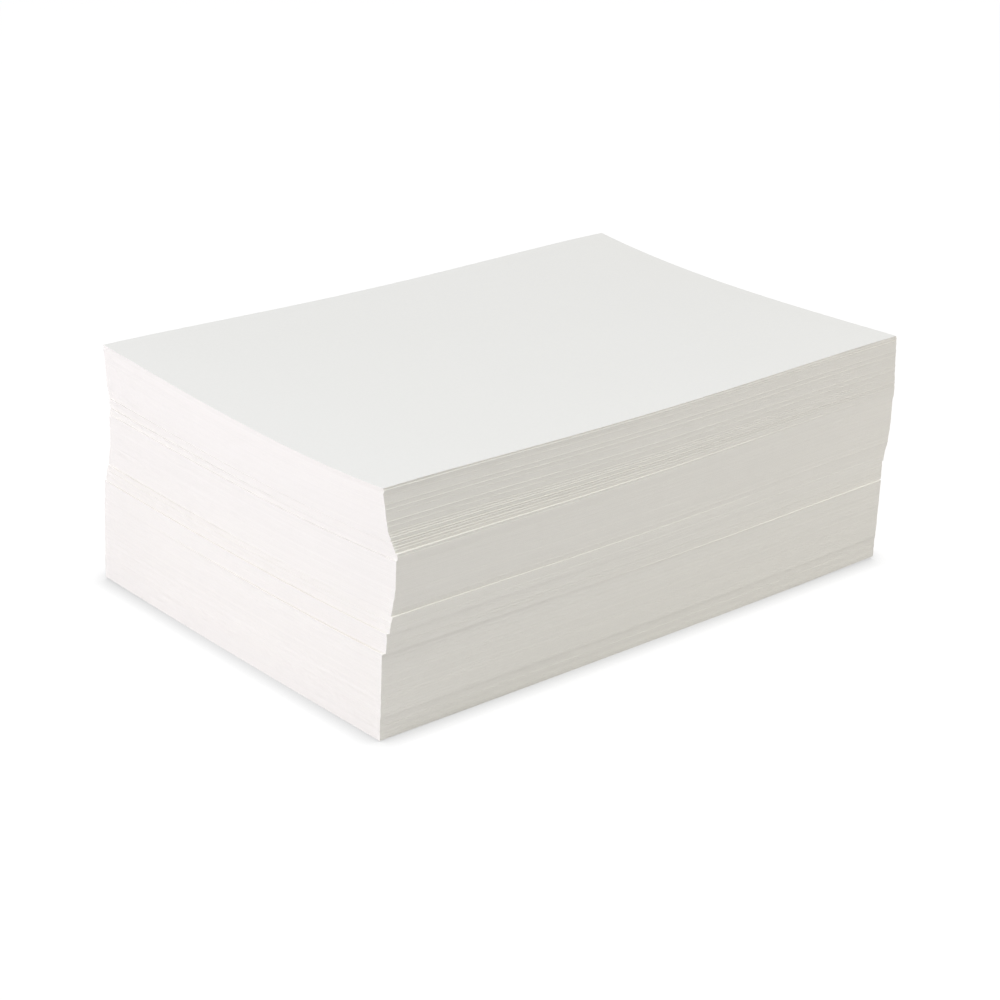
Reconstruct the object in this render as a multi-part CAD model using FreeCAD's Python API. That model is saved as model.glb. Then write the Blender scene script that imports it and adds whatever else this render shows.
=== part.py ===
import FreeCAD, Part
import os
from collections import namedtuple

# A loose pack of 500 sheets of watercolor paper, 12 x 18 inches, lying flat on a table.
#
# Frame: millimetres, +Z up and +X along the long edges. The origin is on the table, under the
# middle of the pack. The long front side faces -Y.
#
# Sheets that lie flush with each other are one lift, the handful that would be picked up
# together. Each lift is one closed solid in a file of its own. Handfuls have slipped and turned
# on the ones below, so the sides carry ledges, overhangs and a fan of thin lifts.
#
# The pack dishes. The table keeps the lowest sheet flat, and the edges stand a little higher
# with each sheet above it. Two lifts that meet share one curled surface, so they lie face to
# face wherever they have slipped to.

# The sheet
sheet_length = 457.2  # 18 in
sheet_width = 304.8  # 12 in
sheet_caliper = 0.324  # cold-pressed, 190 g/m2

# The dish: how far the edges of the top sheet stand above its middle
width_curl = 5.0  # at the middle of a long edge
length_curl = 1.9  # at the middle of a short edge
corner_twist = 1.0  # added at the back left and front right corners, taken from the other two
width_curl_growth = 1.0  # power of the height: the long edges and the corners rise evenly
length_curl_growth = 1 / 3  # the short edges rise at once, and then hold

# Each curled face is divided into even spans, so that it meshes into few and even facets
spans_along = 6
spans_across = 10
knot_tolerance = 1e-9  # knots nearer to each other than this count as one

# How a sheet lies: slipped to the right and to the back, and turned, in degrees
Lie = namedtuple("Lie", "right back turn")

# A band of the pack: the sheets in each of its lifts, from below, and how its lowest and its
# highest sheet lie. Slip is the share of the drift between those two that the lifts take in
# steps. The rest leans their sides.
Band = namedtuple("Band", "name sheets foot head slip")

pack = (
    Band("foot", (46,), Lie(-0.2, 0.4, 0.0), Lie(-0.2, 0.4, 0.0), 0.0),
    Band("lower", (67, 47, 16), Lie(-0.5, -0.2, 0.02), Lie(0.7, 0.3, -0.05), 0.1),
    Band("waist", (10, 11, 11, 9), Lie(1.1, 0.2, 0.39), Lie(1.3, 0.2, 0.49), 0.5),
    Band("step", (12, 11, 9), Lie(1.9, -0.3, 0.61), Lie(3.6, -0.2, 0.66), 0.5),
    Band("middle", (11, 9, 12, 19), Lie(4.8, 0.4, 0.41), Lie(6.4, -0.1, 0.61), 0.3),
    Band("plain", (42, 18), Lie(6.4, -0.1, 0.61), Lie(6.0, -0.3, 0.67), 0.0),
    Band("ridge", (7, 6), Lie(6.4, -0.8, 0.73), Lie(6.8, -0.4, 0.63), 1.0),
    Band("fan", (7, 5, 6, 4, 8, 4, 5), Lie(7.2, 0.2, 0.46), Lie(6.6, 1.9, -0.22), 1.0),
    Band("crown", (12, 10, 15, 9, 10, 16, 7), Lie(6.4, 1.9, -0.22), Lie(4.6, 2.3, -0.58), 0.3),
    Band("cap", (5, 3), Lie(4.6, 2.7, -0.53), Lie(4.6, 2.7, -0.53), 0.0),
    Band("top_sheet", (1,), Lie(4.5, 2.5, -0.53), Lie(4.5, 2.5, -0.53), 0.0),
)

sheets_in_pack = sum(sum(band.sheets) for band in pack)
pack_height = sheets_in_pack * sheet_caliper


def dish(x, y, level):
    """Height of the curled surface that crosses the middle of the pack at a level."""
    share = level / pack_height
    along = 2 * x / sheet_length
    across = 2 * y / sheet_width
    steady = width_curl * across**2 - corner_twist * along * across
    early = length_curl * along**2
    return level + steady * share**width_curl_growth + early * share**length_curl_growth


def sheet_point(along, across, lie, level):
    """A point of a sheet, given from -1 to 1 along its length and across its width."""
    flat = FreeCAD.Vector(along * sheet_length / 2, across * sheet_width / 2, 0)
    turned = FreeCAD.Rotation(FreeCAD.Vector(0, 0, 1), lie.turn).multVec(flat)
    x = turned.x + lie.right
    y = turned.y + lie.back
    return FreeCAD.Vector(x, y, dish(x, y, level))


def arc_poles(start, middle, end):
    """Poles of the parabola through three points, the middle one halfway along it."""
    return [start, middle * 2 - (start + end) * 0.5, end]


def sheet_poles(lie, level):
    """Poles of a whole sheet's face, three along its length by three across its width."""
    steps = (-1, 0, 1)
    rows = [arc_poles(*(sheet_point(a, b, lie, level) for b in steps)) for a in steps]
    columns = [arc_poles(*column) for column in zip(*rows)]
    return [list(row) for row in zip(*columns)]


def patch(poles, rows, columns):
    """The face that a grid of poles shapes, divided into rows and columns of spans."""
    degrees = (len(poles) - 1, len(poles[0]) - 1)
    ends = [(degree + 1, degree + 1) for degree in degrees]
    surface = Part.BSplineSurface()
    surface.buildFromPolesMultsKnots(poles, *ends, (0, 1), (0, 1), False, False, *degrees)
    for row in range(1, rows):
        surface.insertUKnot(row / rows, 1, knot_tolerance)
    for column in range(1, columns):
        surface.insertVKnot(column / columns, 1, knot_tolerance)
    return surface.toShape()


def sheet_face(lie, level):
    """A curled face of a lift."""
    return patch(sheet_poles(lie, level), spans_along, spans_across)


def outline(lie, level):
    """The poles of a sheet's edges: front, right, back and left."""
    poles = sheet_poles(lie, level)
    front = [row[0] for row in poles]
    back = [row[-1] for row in poles]
    return front, poles[-1], back, poles[0]


def table_face(lie):
    """The flat face that rests on the table."""
    corners = [sheet_point(a, b, lie, 0) for a, b in ((-1, -1), (1, -1), (1, 1), (-1, 1))]
    return Part.Face(Part.makePolygon(corners + corners[:1]))


def lift_solid(low_lie, low_level, high_lie, high_level):
    """A lift: its two curled faces, and four sides that lean from one to the other."""
    bottom = sheet_face(low_lie, low_level) if low_level else table_face(low_lie)
    faces = [bottom, sheet_face(high_lie, high_level)]
    edges = zip(outline(low_lie, low_level), outline(high_lie, high_level))
    for (low, high), spans in zip(edges, (spans_along, spans_across) * 2):
        faces.append(patch([low, high], 1, spans))
    shell = Part.makeShell(faces)
    shell.sewShape()
    solid = Part.makeSolid(shell)
    if solid.Volume < 0:
        solid.reverse()
    return solid


def between(foot, head, share):
    """How a sheet lies at a share of the way up a band."""
    return Lie(*(low + (high - low) * share for low, high in zip(foot, head)))


def lift_ends(band):
    """The lies of each lift's lowest and highest sheet, with the band's steps between lifts."""
    total = sum(band.sheets)
    counted = 0
    for sheets in band.sheets:
        low = counted / total
        counted += sheets
        high = counted / total
        middle = (low + high) / 2
        foot = between(band.foot, band.head, low + (middle - low) * band.slip)
        head = between(band.foot, band.head, high + (middle - high) * band.slip)
        yield sheets, foot, head


def lift_name(band, number):
    """The name of a lift's node."""
    if len(band.sheets) > 1:
        return f"{band.name}_lift_{number}"
    return band.name if band.name.endswith("sheet") else f"{band.name}_lift"


def build_pack():
    """Write every lift, from the table up."""
    os.makedirs("parts", exist_ok=True)
    counted = 0
    for band in pack:
        for number, (sheets, foot, head) in enumerate(lift_ends(band), 1):
            low_level = counted * sheet_caliper
            counted += sheets
            solid = lift_solid(foot, low_level, head, counted * sheet_caliper)
            solid.exportStep(f"parts/{lift_name(band, number)}.step")


build_pack()
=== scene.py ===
import math
import random

import bpy
import numpy as np
from bpy.props import FloatProperty, FloatVectorProperty, IntProperty, PointerProperty
from mathutils import Matrix, Vector


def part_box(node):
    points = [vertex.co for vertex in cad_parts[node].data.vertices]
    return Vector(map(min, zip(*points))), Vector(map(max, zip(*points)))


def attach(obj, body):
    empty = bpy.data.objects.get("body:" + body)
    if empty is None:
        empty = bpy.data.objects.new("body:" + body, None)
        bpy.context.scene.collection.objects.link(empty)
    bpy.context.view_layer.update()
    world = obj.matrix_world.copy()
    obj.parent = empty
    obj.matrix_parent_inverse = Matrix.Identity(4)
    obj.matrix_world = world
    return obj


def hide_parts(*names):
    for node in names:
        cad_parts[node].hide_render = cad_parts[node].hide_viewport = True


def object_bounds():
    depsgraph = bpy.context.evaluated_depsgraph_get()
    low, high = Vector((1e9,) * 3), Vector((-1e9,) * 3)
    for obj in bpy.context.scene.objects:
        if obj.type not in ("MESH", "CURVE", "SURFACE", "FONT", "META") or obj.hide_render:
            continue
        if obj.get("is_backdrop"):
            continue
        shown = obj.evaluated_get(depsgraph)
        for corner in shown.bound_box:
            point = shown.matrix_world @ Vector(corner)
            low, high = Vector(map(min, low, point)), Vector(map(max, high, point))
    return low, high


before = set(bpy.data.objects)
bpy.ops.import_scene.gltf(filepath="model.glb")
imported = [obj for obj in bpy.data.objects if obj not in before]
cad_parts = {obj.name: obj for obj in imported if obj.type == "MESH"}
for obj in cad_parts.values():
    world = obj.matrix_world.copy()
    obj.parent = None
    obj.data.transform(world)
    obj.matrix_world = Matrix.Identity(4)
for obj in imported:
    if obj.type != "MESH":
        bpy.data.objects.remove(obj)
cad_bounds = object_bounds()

bl_info = {
    "name": "Pack of watercolor paper",
    "version": (1, 0, 0),
    "blender": (4, 5, 0),
    "location": "3D View > Sidebar > Paper pack",
    "description": "Lays the single sheets of a loose pack of watercolor paper",
    "category": "Object",
}

TOP_SHEET = "top_sheet"
LIFTS = sorted(
    (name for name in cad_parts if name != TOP_SHEET), key=lambda name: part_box(name)[0].z
)
CORNERS = ((-1, -1), (1, -1), (1, 1), (-1, 1))  # front left, front right, back right, back left
FLAT = 0.7  # a face lies flat where the Z of its normal is more than this
SHEET_GRID = (6, 8)  # faces of a sheet in the pack, along its length and across its width
TOP_SHEET_GRID = (72, 48)  # the same for the top sheet
SLIP_SEED = 12  # of the slips and the tones in the pack
TOP_SHEET_SEED = 3
SMOOTH_ANGLE = math.radians(30)
MOST_HALVINGS = 6  # how often a slip is halved before it is left out
EARLY_GROWTH = 1 / 3  # power of the height: the bulge rises at once, and then holds
COCKLE_WAVES = ((31, 17, 0.6), (-9, 37, 1.1))  # radians a metre along X and Y, and at the middle

# How far the top sheet of a lift stands out at the front, as a share of the lip. It is the whole
# lip unless it is given here. Below 0, the top sheets are set back.
LIP_SHARES = {
    "foot_lift": -0.4, "lower_lift_1": 0.0, "lower_lift_2": 0.0, "lower_lift_3": 1.8,
    "waist_lift_1": 0.4, "waist_lift_2": 0.4, "waist_lift_3": 0.4, "waist_lift_4": 0.6,
    "step_lift_1": 0.4, "step_lift_2": 0.4, "step_lift_3": 0.2,
    "middle_lift_1": 0.6, "middle_lift_2": 0.6, "middle_lift_3": 0.4, "middle_lift_4": 0.0,
    "plain_lift_1": 0.0, "plain_lift_2": 0.7, "ridge_lift_1": 1.9, "ridge_lift_2": 0.5,
    "fan_lift_1": 0.5, "fan_lift_2": 1.3, "fan_lift_4": 1.3,
    "crown_lift_1": 1.3, "crown_lift_2": 1.3, "crown_lift_3": 0.5, "crown_lift_4": 1.3,
    "crown_lift_6": 0.5, "cap_lift_1": 1.9, "cap_lift_2": 0.0, TOP_SHEET: 0.0,
}

# The same at the left, where there is none unless it is given here
LEFT_LIP_SHARES = {
    "lower_lift_3": 1.2, "waist_lift_4": 1.8, "step_lift_3": -2.2, "plain_lift_2": 1.4,
    "ridge_lift_2": 0.4, "fan_lift_3": 1.8,
}

# How far the top sheet of a lift has turned with its lip, in degrees
LIP_TURNS = {"lower_lift_3": 0.08, "cap_lift_1": 0.07}

# How many sheets down a lip is halved: one, unless it is given here
LIP_DEPTHS = {"step_lift_3": 4, "cap_lift_1": 20}


# ---------------------------------------------------------------- the frame's sheets


def face_points(node, up):
    """Places of the vertices of a lift's upper or lower curled face."""
    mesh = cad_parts[node].data
    picked = {v for face in mesh.polygons if face.normal.z * up > FLAT for v in face.vertices}
    return np.array([mesh.vertices[v].co for v in sorted(picked)])


def curl_of(points):
    """Level of a curled face at the middle of the pack, its rise along X and Y, and its twist."""
    x, y, z = points.T
    terms = np.column_stack((np.ones_like(x), x * x, y * y, x * y))
    return np.linalg.lstsq(terms, z, rcond=None)[0]


def lie_of(points):
    """The sheet that has this face: its middle and its turn, its length and its width."""
    corners = [points[np.argmax(points[:, 0] * a + points[:, 1] * b)] for a, b in CORNERS]
    front_left, front_right, back_right, back_left = corners
    middle = sum(corners) / 4
    along = (front_right + back_right - front_left - back_left) / 2
    across = (back_left + back_right - front_left - front_right) / 2
    turn = math.atan2(along[1], along[0])
    return np.array([middle[0], middle[1], turn]), math.hypot(*along[:2]), math.hypot(*across[:2])


def read_lift(node):
    """How the lowest and the highest face of a lift lie and curl."""
    low, high = face_points(node, -1), face_points(node, 1)
    return {
        "low_lie": lie_of(low)[0],
        "high_lie": lie_of(high)[0],
        "low_curl": curl_of(low),
        "high_curl": curl_of(high),
    }


LIFT_FACES = {name: read_lift(name) for name in LIFTS + [TOP_SHEET]}
_, SHEET_LENGTH, SHEET_WIDTH = lie_of(face_points(TOP_SHEET, 1))
PITCH = LIFT_FACES[TOP_SHEET]["high_curl"][0] - LIFT_FACES[TOP_SHEET]["low_curl"][0]
PACK_HEIGHT = LIFT_FACES[TOP_SHEET]["high_curl"][0]


# ---------------------------------------------------------------- values a user would change


class PaperPackSheets(bpy.types.PropertyGroup):
    """Sizes and colours of the sheets"""

    fullness: FloatProperty(
        name="Fullness", description="Share of the pitch of two sheets that the paper fills",
        default=0.98, min=0.5, max=0.99, subtype="FACTOR",
    )
    sheet_slip: FloatProperty(
        name="Sheet slip", description="How far a sheet has slipped on the one below",
        default=0.00003, unit="LENGTH", precision=5,
    )
    handful_slip: FloatProperty(
        name="Handful slip", description="How far a few sheets together have slipped",
        default=0.00005, unit="LENGTH", precision=5,
    )
    handful: IntProperty(
        name="Handful", description="Sheets that slip together", default=4, min=1,
    )
    sheet_turn: FloatProperty(
        name="Sheet turn", description="How far a sheet has turned on the one below",
        default=math.radians(0.004), subtype="ANGLE",
    )
    lip: FloatProperty(
        name="Lip", description="How far the top sheet of a lift with a share of 1 stands out",
        default=0.00033, unit="LENGTH", precision=5,
    )
    corner_lift: FloatVectorProperty(
        name="Corner lift", size=4, default=(0.0007, 0.0018, 0.0010, 0.0016), unit="LENGTH",
        description="How far the lowest sheet lifts off the table at each corner", precision=5,
    )
    corner_reach: FloatProperty(
        name="Corner reach", description="How far from a corner its lift starts",
        default=0.150, unit="LENGTH",
    )
    lifted_height: FloatProperty(
        name="Lifted height", description="Height above the table at which the lift is gone",
        default=0.120, unit="LENGTH",
    )
    bulge: FloatProperty(
        name="Bulge", description="How far the sheets rise between their middle and their ends",
        default=0.00088, unit="LENGTH", precision=5,
    )
    long_edge_sag: FloatProperty(
        name="Long edge sag", description="How far the middle of a long edge sags",
        default=0.0010, unit="LENGTH", precision=5,
    )
    short_edge_sag: FloatProperty(
        name="Short edge sag", description="How far the middle of a short edge sags",
        default=0.0004, unit="LENGTH", precision=5,
    )
    skew: FloatProperty(
        name="Skew", description="How far the lowest part of the dish is turned",
        default=0.0020, unit="LENGTH", precision=5,
    )
    cockle: FloatProperty(
        name="Cockle", description="Height of the slow waves in the upper sheets",
        default=0.00035, unit="LENGTH", precision=5,
    )
    face_color: FloatVectorProperty(
        name="Face", description="Colour of the faces of the sheets", subtype="COLOR",
        size=3, default=(0.87, 0.87, 0.86), min=0, max=1,
    )
    edge_color: FloatVectorProperty(
        name="Cut edge", description="Colour of the cut edges", subtype="COLOR",
        size=3, default=(0.87, 0.85, 0.81), min=0, max=1,
    )
    edge_shade: FloatProperty(
        name="Edge shade", description="How much darker the darkest cut edge is",
        default=0.05, min=0, max=1, subtype="FACTOR",
    )
    # Painted highlight: the faces along the long sides are lighter, so the ledges at the front
    # and back look lit
    long_rim_highlight: FloatVectorProperty(
        name="Long rims", subtype="COLOR", size=3, default=(0.94, 0.925, 0.89), min=0, max=1,
        description="Colour of the faces along the long sides, under the top sheet",
    )
    # Painted shade: the faces along the short sides are darker and yellower, so the ledges at the
    # ends show as dark lines
    short_rim_shade: FloatVectorProperty(
        name="Short rims", subtype="COLOR", size=3, default=(0.87, 0.84, 0.79), min=0, max=1,
        description="Colour of the faces along the short sides, under the top sheet",
    )
    # Width of the painted highlight and painted shade along the sides of the faces
    painted_rim_width: FloatProperty(
        name="Rim width", description="How far in from the sides the faces have the rim's colour",
        default=0.015, unit="LENGTH",
    )
    tooth: FloatProperty(
        name="Tooth", description="Depth of the cold-pressed tooth", default=0.00006,
        unit="LENGTH", precision=6,
    )


class PaperPackStage(bpy.types.PropertyGroup):
    """Camera, light and floor"""

    azimuth: FloatProperty(
        name="Azimuth", description="Where the camera stands round the pack",
        default=math.radians(-41.868), subtype="ANGLE",
    )
    elevation: FloatProperty(
        name="Elevation", description="How high the camera stands", subtype="ANGLE",
        default=math.radians(22.854),
    )
    roll: FloatProperty(
        name="Roll", description="Tilt of the camera about its view", subtype="ANGLE",
        default=math.radians(1.893),
    )
    distance: FloatProperty(
        name="Distance", description="From the pack to the camera", default=1.8773, unit="LENGTH",
    )
    aim_right: FloatProperty(
        name="Aim right", description="The camera's shift to its right", default=0.0020,
        unit="LENGTH",
    )
    aim_up: FloatProperty(
        name="Aim up", description="The camera's shift upwards", default=0.0486, unit="LENGTH",
    )
    lens: FloatProperty(name="Lens", description="Focal length", default=95.107, subtype="NONE")
    sky: FloatVectorProperty(
        name="Sky", description="Colour and strength of the light all round", subtype="COLOR",
        size=3, default=(0.405, 0.405, 0.405), min=0,
    )
    key: FloatVectorProperty(
        name="Key light", description="Colour and power of the light at the left", size=3,
        subtype="COLOR", default=(43.4, 42.0, 46.3), min=0,
    )
    side: FloatVectorProperty(
        name="Side light", description="Colour and power of the light at the right", size=3,
        subtype="COLOR", default=(19.6, 18.3, 17.1), min=0,
    )
    top: FloatVectorProperty(
        name="Top light", description="Colour and power of the light above", size=3,
        subtype="COLOR", default=(12.8, 13.4, 12.3), min=0,
    )
    floor_color: FloatVectorProperty(
        name="Floor", description="Colour of the floor", subtype="COLOR", size=3,
        default=(0.84, 0.84, 0.84), min=0, max=1,
    )
    contact_reach: FloatProperty(
        name="Contact reach", description="How far the shadow at the foot reaches",
        default=0.0165, unit="LENGTH",
    )


# ---------------------------------------------------------------- materials

# The patterns in the paper: cells a metre, detail and roughness of each noise
TOOTH_NOISE = {"Scale": 520.0, "Detail": 4.0, "Roughness": 0.6}
DRIFT_NOISE = {"Scale": 9.0, "Detail": 2.0}
FIBRE_NOISE = {"Scale": 900.0, "Detail": 3.0, "Roughness": 0.7}
NOISE_RANGE = (0.3, 0.7)  # nearly all of a noise lies between these

# Their darkest and their lightest tone, as shares of the paper's colour
TOOTH_TONES = (0.97, 1.012)
DRIFT_TONES = (0.985, 1.01)
FIBRE_TONES = (0.96, 1.0)

FACE_ROUGHNESS = (0.82, 0.95)
EDGE_ROUGHNESS = (0.88, 0.98)
PAPER_SPECULAR = 0.25
FACE_BUMP = 1.0
EDGE_BUMP = 0.4


def new_material(name):
    """An empty node material."""
    material = bpy.data.materials.new(name)
    material.use_nodes = True
    material.node_tree.nodes.clear()
    return material


def add_node(tree, kind, settings=None, **inputs):
    """A shader node. Each input, by its name or as i and its number, gets a value or a link."""
    node = tree.nodes.new(kind)
    for key, value in (settings or {}).items():
        setattr(node, key, value)
    for key, value in inputs.items():
        numbered = key[0] == "i" and key[1:].isdigit()
        socket = node.inputs[int(key[1:]) if numbered else key.replace("_", " ")]
        if isinstance(value, bpy.types.NodeSocket):
            tree.links.new(value, socket)
        else:
            socket.default_value = value
    return node


def mix_color(tree, share, low, high):
    """A colour between two others."""
    mix = add_node(tree, "ShaderNodeMix", {"data_type": "RGBA"}, i0=share, i6=low, i7=high)
    return mix.outputs[2]


def spread(tree, value, old, new):
    """A value moved from one range to another."""
    limits = {"i1": old[0], "i2": old[1], "i3": new[0], "i4": new[1]}
    moved = add_node(tree, "ShaderNodeMapRange", i0=value, **limits)
    return moved.outputs[0]


def scaled(color, factor):
    """A colour, lighter or darker by a factor, with alpha."""
    return (*(channel * factor for channel in color), 1.0)


def toned(tree, share, color, tones):
    """A colour that goes from one of its tones to another."""
    return mix_color(tree, share, scaled(color, tones[0]), scaled(color, tones[1]))


def add_noise(tree, place, pattern):
    """A noise pattern in the paper."""
    return add_node(tree, "ShaderNodeTexNoise", Vector=place, **pattern).outputs[0]


def paper_shader(tree, color, height, bump, depth, roughness):
    """Dull paper, with a bump from a height, finished into the material's output."""
    normal = add_node(tree, "ShaderNodeBump", Strength=bump, Distance=depth, Height=height)
    rough = spread(tree, height, NOISE_RANGE, roughness)
    looks = {"Base_Color": color, "Normal": normal.outputs[0], "Roughness": rough}
    shader = add_node(tree, "ShaderNodeBsdfPrincipled", **looks)
    shader.inputs["Specular IOR Level"].default_value = PAPER_SPECULAR
    add_node(tree, "ShaderNodeOutputMaterial", Surface=shader.outputs[0])


def painted_rim_share(tree, place, axis, half, width):
    """1 at the two sides of the pack across an axis, down to 0 at a width in from them: where the
    painted rim highlight or shade lies.
    """
    axes = add_node(tree, "ShaderNodeSeparateXYZ", Vector=place)
    size = add_node(tree, "ShaderNodeMath", {"operation": "ABSOLUTE"}, i0=axes.outputs[axis])
    return spread(tree, size.outputs[0], (half - width, half), (0.0, 1.0))


def make_face_material(name, values, rimmed):
    """Cold-pressed paper: a fine tooth, slow drifts of tone, and in the pack a painted highlight
    along the long rims and painted shade along the short rims.
    """
    material = new_material(name)
    tree = material.node_tree
    place = add_node(tree, "ShaderNodeTexCoord").outputs["Object"]
    tooth = add_noise(tree, place, TOOTH_NOISE)
    drift = add_noise(tree, place, DRIFT_NOISE)
    slow = toned(tree, drift, values.face_color, DRIFT_TONES)
    pits = spread(tree, tooth, NOISE_RANGE, (0.0, 1.0))
    fine = toned(tree, pits, values.face_color, TOOTH_TONES)
    color = mix_color(tree, 0.5, slow, fine)
    # Painted shade along the short ends and painted highlight along the long sides of the faces
    # under the top sheet
    if rimmed:
        shade_at_ends = painted_rim_share(tree, place, "X", SHEET_LENGTH / 2, values.painted_rim_width)
        highlight_at_sides = painted_rim_share(tree, place, "Y", SHEET_WIDTH / 2, values.painted_rim_width)
        color = mix_color(tree, shade_at_ends, color, scaled(values.short_rim_shade, 1.0))
        color = mix_color(tree, highlight_at_sides, color, scaled(values.long_rim_highlight, 1.0))
    paper_shader(tree, color, tooth, FACE_BUMP, values.tooth, FACE_ROUGHNESS)
    return material


def make_edge_material(values):
    """Cut edges: creamier than the faces, each sheet a little lighter or darker, with fibres."""
    material = new_material("cut_edge")
    tree = material.node_tree
    place = add_node(tree, "ShaderNodeTexCoord").outputs["Object"]
    tone = add_node(tree, "ShaderNodeAttribute", {"attribute_name": "sheet_tone"}).outputs["Fac"]
    sheet = toned(tree, tone, values.edge_color, (1 - values.edge_shade, 1.0))
    fibres = add_noise(tree, place, FIBRE_NOISE)
    fuzz = spread(tree, fibres, NOISE_RANGE, (0.0, 1.0))
    fuzz = toned(tree, fuzz, values.edge_color, FIBRE_TONES)
    color = mix_color(tree, 0.5, sheet, fuzz)
    paper_shader(tree, color, fibres, EDGE_BUMP, values.tooth, EDGE_ROUGHNESS)
    return material


def paper_materials(rimmed):
    """The face and the edge material, each made once."""
    values = bpy.context.scene.paper_pack_sheets
    name = "rimmed_face" if rimmed else "cold_pressed_face"
    face = bpy.data.materials.get(name) or make_face_material(name, values, rimmed)
    edge = bpy.data.materials.get("cut_edge") or make_edge_material(values)
    return face, edge


# ---------------------------------------------------------------- sheets


def select_only(*objects):
    """These objects selected and nothing else, the last one active."""
    bpy.ops.object.select_all(action="DESELECT")
    for piece in objects:
        piece.select_set(True)
    bpy.context.view_layer.objects.active = objects[-1]


def model_sheet(name, grid, rimmed):
    """One flat sheet at its own size, its lower face at the height 0, in a grid for the curl."""
    columns, rows = grid
    thickness = PITCH * bpy.context.scene.paper_pack_sheets.fullness
    bpy.ops.object.select_all(action="DESELECT")
    bpy.ops.mesh.primitive_grid_add(x_subdivisions=columns, y_subdivisions=rows, size=1.0)
    sheet = bpy.context.active_object
    sheet.name = name
    sheet.scale = (SHEET_LENGTH, SHEET_WIDTH, 1.0)
    bpy.ops.object.transform_apply(location=False, rotation=False, scale=True)
    bpy.ops.object.mode_set(mode="EDIT")
    bpy.ops.mesh.select_all(action="SELECT")
    bpy.ops.mesh.extrude_region_move(TRANSFORM_OT_translate={"value": (0, 0, thickness)})
    bpy.ops.mesh.select_all(action="SELECT")
    bpy.ops.mesh.normals_make_consistent(inside=False)
    bpy.ops.object.mode_set(mode="OBJECT")
    for material in paper_materials(rimmed):
        sheet.data.materials.append(material)
    for face in sheet.data.polygons:
        face.material_index = 0 if abs(face.normal.z) > FLAT else 1
    return sheet


def vertex_places(mesh):
    """The places of a mesh's vertices as rows."""
    places = np.empty(len(mesh.vertices) * 3)
    mesh.vertices.foreach_get("co", places)
    return places.reshape(-1, 3)


def corner_share(x, y, reach, corner):
    """From 0 away from a corner of the pack to 1 at it."""
    right, back = corner
    near_x = np.clip((x * right - (SHEET_LENGTH / 2 - reach)) / reach, 0, None)
    near_y = np.clip((y * back - (SHEET_WIDTH / 2 - reach)) / reach, 0, None)
    return np.clip(1 - np.hypot(1 - near_x, 1 - near_y), 0, 1) ** 2


def lifted_corners(x, y, height, values):
    """How far the corners of the lowest sheets lift off the table."""
    fade = max(0.0, 1 - height / values.lifted_height)
    rise = 0
    for lift, corner in zip(values.corner_lift, CORNERS):
        rise = rise + lift * corner_share(x, y, values.corner_reach, corner)
    return rise * fade


def settled(x, y, height, values):
    """How far the sheets of a tall pack settle out of the plain dish."""
    share = height / PACK_HEIGHT
    along = 2 * x / SHEET_LENGTH
    across = 2 * y / SHEET_WIDTH
    between = 4 * (along**2 - along**4)  # 0 at the middle and the ends, and 1 between them
    bulge = values.bulge * between * share**EARLY_GROWTH
    sag = values.long_edge_sag * across**2 * (1 - along**2)
    sag = sag + values.short_edge_sag * along**2 * (1 - across**2)
    skew = values.skew * along * across * (1 - across**2)
    return bulge - (sag + skew) * share


def cockles(x, y, height, values):
    """Slow waves in the upper sheets, gone at their rims."""
    grown = (height / PACK_HEIGHT) ** 2
    waves = 1
    for along, across, start in COCKLE_WAVES:
        waves = waves * np.sin(x * along + y * across + start)
    inner = (1 - (2 * x / SHEET_LENGTH) ** 2) * (1 - (2 * y / SHEET_WIDTH) ** 2)
    return values.cockle * grown * waves * np.clip(inner, 0, 1)


def curl_sheet(mesh, curl, values):
    """Lay a flat sheet on the curled face below it."""
    places = vertex_places(mesh)
    x, y, own = places.T
    level, along, across, twist = curl
    rise = level + along * x * x + across * y * y + twist * x * y
    for more in (lifted_corners, settled, cockles):
        rise = rise + more(x, y, level, values)
    places[:, 2] = rise + own
    mesh.vertices.foreach_set("co", places.ravel())
    mesh.update()


def placed_corners(lie):
    """The corners of a sheet with this middle and turn."""
    half = np.array((SHEET_LENGTH / 2, SHEET_WIDTH / 2))
    cosine, sine = math.cos(lie[2]), math.sin(lie[2])
    turned = np.array(((cosine, sine), (-sine, cosine)))
    return np.array(CORNERS) * half @ turned + lie[:2]


def slipped(lie, slip):
    """A lie with its slip added, less of it where the sheet would leave the pack's box."""
    low, high = (np.array(corner[:2]) for corner in cad_bounds)
    for _ in range(MOST_HALVINGS):
        corners = placed_corners(lie + slip)
        if (corners.min(0) >= low).all() and (corners.max(0) <= high).all():
            return lie + slip
        slip = slip / 2
    return lie


def sheet_slips(values, dice):
    """For sheet after sheet: its slip to the right and to the back, and its turn."""
    count = 0
    handful = (0.0, 0.0, 0.0)
    while True:
        if count == 0:
            count = dice.randint(1, 2 * values.handful - 1)
            handful = tuple(dice.gauss(0, 1) for _ in range(3))
        count -= 1
        own = tuple(dice.gauss(0, 1) for _ in range(3))
        right = handful[0] * values.handful_slip + own[0] * values.sheet_slip
        back = handful[1] * values.handful_slip + own[1] * values.sheet_slip
        yield right, back, (handful[2] + own[2]) * values.sheet_turn


def lip_slip(node, above, values):
    """The slip of a sheet with so many sheets above it in its lift: the top ones stand out."""
    fading = 0.5 ** (above / LIP_DEPTHS.get(node, 1))
    out = values.lip * LIP_SHARES.get(node, 1.0)
    left_out = values.lip * LEFT_LIP_SHARES.get(node, 0.0)
    turn = math.radians(LIP_TURNS.get(node, 0.0))
    return np.array((-left_out, -out, turn)) * fading


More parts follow.
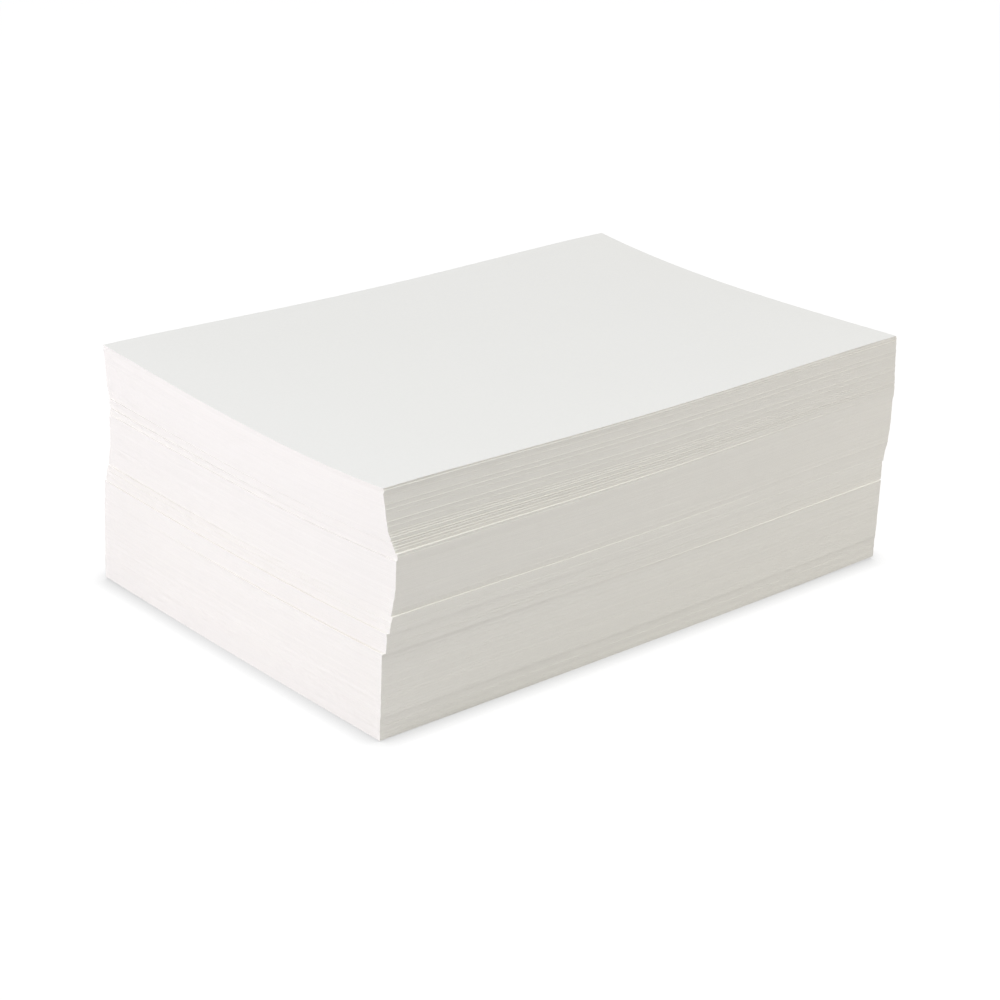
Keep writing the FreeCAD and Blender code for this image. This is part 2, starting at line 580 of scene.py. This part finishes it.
def lay_lift(node, flat_sheet, slips, dice):
    """Every sheet of one lift, laid on each other and joined into one piece."""
    values = bpy.context.scene.paper_pack_sheets
    faces = LIFT_FACES[node]
    count = max(1, round((faces["high_curl"][0] - faces["low_curl"][0]) / PITCH))
    sheets = []
    for number in range(count):
        share = number / count
        middle_share = (number + 0.5) / count
        lie = faces["low_lie"] + (faces["high_lie"] - faces["low_lie"]) * middle_share
        curl = faces["low_curl"] + (faces["high_curl"] - faces["low_curl"]) * share
        lie = slipped(lie, np.array(next(slips)) + lip_slip(node, count - 1 - number, values))
        mesh = flat_sheet.data.copy()
        sheet = bpy.data.objects.new(f"{node}_{number}", mesh)
        bpy.context.collection.objects.link(sheet)
        place = Matrix.Translation((lie[0], lie[1], 0.0))
        mesh.transform(place @ Matrix.Rotation(lie[2], 4, "Z"))
        curl_sheet(mesh, curl, values)
        tone = mesh.attributes.new("sheet_tone", "FLOAT", "FACE")
        tone.data.foreach_set("value", [dice.random()] * len(mesh.polygons))
        sheets.append(sheet)
    select_only(*sheets)
    if len(sheets) > 1:
        bpy.ops.object.join()
    piece = bpy.context.active_object
    piece.name = f"{node}_paper"
    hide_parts(node)
    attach(piece, "root")
    return piece


class PAPERPACK_OT_lifts(bpy.types.Operator):
    """Lay the sheets of every lift under the top sheet"""

    bl_idname = "paper_pack.lay_lifts"
    bl_label = "Lay the lifts"

    def execute(self, context):
        dice = random.Random(SLIP_SEED)
        slips = sheet_slips(context.scene.paper_pack_sheets, dice)
        flat_sheet = model_sheet("flat_sheet", SHEET_GRID, rimmed=True)
        for node in LIFTS:
            lay_lift(node, flat_sheet, slips, dice)
        bpy.data.objects.remove(flat_sheet)
        return {"FINISHED"}


class PAPERPACK_OT_top_sheet(bpy.types.Operator):
    """Lay the top sheet, whose whole face shows"""

    bl_idname = "paper_pack.lay_top_sheet"
    bl_label = "Lay the top sheet"

    def execute(self, context):
        flat_sheet = model_sheet("flat_top_sheet", TOP_SHEET_GRID, rimmed=False)
        no_slip = iter([(0.0, 0.0, 0.0)])
        piece = lay_lift(TOP_SHEET, flat_sheet, no_slip, random.Random(TOP_SHEET_SEED))
        bpy.data.objects.remove(flat_sheet)
        select_only(piece)
        bpy.ops.object.shade_smooth_by_angle(angle=SMOOTH_ANGLE)
        return {"FINISHED"}


# ---------------------------------------------------------------- stage

WHITE = (1, 1, 1, 1)
FILM_WIDTH = 36.0  # in millimetres
FAR_CLIP = 100.0
FLOOR_SIZE = 60.0
FLOOR_SAMPLES = 16  # rays that find how open the floor is
FLOOR_SHADE = 0.12  # the part of the seen floor's tone that the lamps give and the pack shades

# The seen floor at the foot of the pack and away from it: how open it is, and how it glows. The
# glow dims where the floor is less open, a painted contact shadow round the pack's foot.
FLOOR_OPENNESS = (0.45, 1.0)
FLOOR_GLOW = (0.61, 0.93)

# The lamps: name, place, size, and the stage's value that holds the light
LAMPS = (
    ("key_light", (-2.6, 0.6, 1.2), 1.6, "key"),
    ("side_light", (2.0, -0.7, 0.7), 1.0, "side"),
    ("top_light", (-0.35, -0.6, 2.1), 1.2, "top"),
)


def seen_rays(tree):
    """1 for the rays that see a surface straight, in a reflection or through something clear."""
    rays = add_node(tree, "ShaderNodeLightPath").outputs
    seen = rays["Is Camera Ray"]
    for other in (rays["Is Glossy Ray"], rays["Is Transmission Ray"]):
        larger = add_node(tree, "ShaderNodeMath", {"operation": "MAXIMUM"}, i0=seen, i1=other)
        seen = larger.outputs[0]
    return seen


def add_by_ray(tree, plain, seen):
    """One shader for the rays that light the pack, and another for those that are seen."""
    shaders = {"i1": plain.outputs[0], "i2": seen.outputs[0]}
    return add_node(tree, "ShaderNodeMixShader", i0=seen_rays(tree), **shaders).outputs[0]


def make_floor_material(values):
    """A floor that is seen white, with a painted contact shadow round the pack's foot, keeps the
    pack's shadow, and returns plain light.
    """
    material = new_material("floor")
    tree = material.node_tree
    plain = add_node(tree, "ShaderNodeBsdfDiffuse", Color=scaled(values.floor_color, 1.0))
    open_floor = add_node(
        tree, "ShaderNodeAmbientOcclusion", {"samples": FLOOR_SAMPLES},
        Distance=values.contact_reach,
    )
    # Painted contact shadow: the glow dims where the floor is hemmed in by the pack
    strength = spread(tree, open_floor.outputs["AO"], FLOOR_OPENNESS, FLOOR_GLOW)
    glow = add_node(tree, "ShaderNodeEmission", Color=WHITE, Strength=strength)
    shaded = add_node(tree, "ShaderNodeBsdfDiffuse", Color=scaled(WHITE[:3], FLOOR_SHADE))
    seen = add_node(tree, "ShaderNodeAddShader", i0=glow.outputs[0], i1=shaded.outputs[0])
    add_node(tree, "ShaderNodeOutputMaterial", Surface=add_by_ray(tree, plain, seen))
    return material


def make_sky(values):
    """Even light all round, seen as white."""
    world = bpy.data.worlds.new("studio")
    bpy.context.scene.world = world
    world.use_nodes = True
    tree = world.node_tree
    tree.nodes.clear()
    sky = add_node(tree, "ShaderNodeBackground", Color=scaled(values.sky, 1.0), Strength=1.0)
    white = add_node(tree, "ShaderNodeBackground", Color=WHITE, Strength=1.0)
    add_node(tree, "ShaderNodeOutputWorld", Surface=add_by_ray(tree, sky, white))


def add_lamp(name, place, size, light):
    """A square soft light that faces the pack. Its light is its power in red, green and blue."""
    bpy.ops.object.select_all(action="DESELECT")
    middle = Vector((0, 0, PACK_HEIGHT / 2))
    turn = (middle - Vector(place)).to_track_quat("-Z", "Y").to_euler()
    bpy.ops.object.light_add(type="AREA", location=place, rotation=turn)
    lamp = bpy.context.active_object
    lamp.name = name
    lamp.data.size = size
    lamp.data.energy = max(light)
    lamp.data.color = [channel / max(light) for channel in light]


def add_camera(values):
    """The camera, level with the floor but for its roll."""
    azimuth, elevation = values.azimuth, values.elevation
    back = Vector((math.sin(azimuth) * math.cos(elevation),
                   -math.cos(azimuth) * math.cos(elevation), math.sin(elevation)))
    right = (-back).cross(Vector((0, 0, 1))).normalized()
    up = right.cross(-back)
    cosine, sine = math.cos(values.roll), math.sin(values.roll)
    right, up = right * cosine + up * sine, up * cosine - right * sine
    place = back * values.distance + right * values.aim_right + up * values.aim_up
    bpy.ops.object.select_all(action="DESELECT")
    turn = Matrix((right, up, back)).transposed().to_euler()
    bpy.ops.object.camera_add(location=place, rotation=turn)
    camera = bpy.context.active_object
    camera.name = "camera"
    camera.data.lens = values.lens
    camera.data.sensor_width = FILM_WIDTH
    camera.data.clip_end = FAR_CLIP
    camera.data.dof.use_dof = False
    bpy.context.scene.camera = camera


class PAPERPACK_OT_stage(bpy.types.Operator):
    """Make the floor, the light and the camera"""

    bl_idname = "paper_pack.make_stage"
    bl_label = "Make the stage"

    def execute(self, context):
        values = context.scene.paper_pack_stage
        bpy.ops.object.select_all(action="DESELECT")
        bpy.ops.mesh.primitive_plane_add(size=FLOOR_SIZE, location=(0, 0, 0))
        floor = context.active_object
        floor.name = "floor"
        floor.data.materials.append(make_floor_material(values))
        floor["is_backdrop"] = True
        make_sky(values)
        for name, place, size, light in LAMPS:
            add_lamp(name, place, size, getattr(values, light))
        add_camera(values)
        context.scene.view_settings.view_transform = "Standard"
        return {"FINISHED"}


class PAPERPACK_PT_panel(bpy.types.Panel):
    """The operators, and the values that they use"""

    bl_idname = "PAPERPACK_PT_panel"
    bl_label = "Paper pack"
    bl_space_type = "VIEW_3D"
    bl_region_type = "UI"
    bl_category = "Paper pack"

    def draw(self, context):
        layout = self.layout
        for operator in OPERATORS:
            layout.operator(operator.bl_idname)
        for values in (context.scene.paper_pack_sheets, context.scene.paper_pack_stage):
            for key in values.bl_rna.properties.keys():
                if key not in ("rna_type", "name"):
                    layout.prop(values, key)


OPERATORS = (PAPERPACK_OT_lifts, PAPERPACK_OT_top_sheet, PAPERPACK_OT_stage)
CLASSES = (PaperPackSheets, PaperPackStage, *OPERATORS, PAPERPACK_PT_panel)


def register():
    """Make the operators, the panel and the values known."""
    for cls in CLASSES:
        bpy.utils.register_class(cls)
    bpy.types.Scene.paper_pack_sheets = PointerProperty(type=PaperPackSheets)
    bpy.types.Scene.paper_pack_stage = PointerProperty(type=PaperPackStage)


def unregister():
    """Take them away again."""
    del bpy.types.Scene.paper_pack_stage
    del bpy.types.Scene.paper_pack_sheets
    for cls in reversed(CLASSES):
        bpy.utils.unregister_class(cls)


def main():
    """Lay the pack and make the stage."""
    register()
    bpy.ops.paper_pack.lay_lifts()
    bpy.ops.paper_pack.lay_top_sheet()
    bpy.ops.paper_pack.make_stage()
    sizes = {"cad": cad_bounds, "visual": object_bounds()}
    {key: [list(corner) for corner in pair] for key, pair in sizes.items()}


if __name__ == "__main__":
    main()
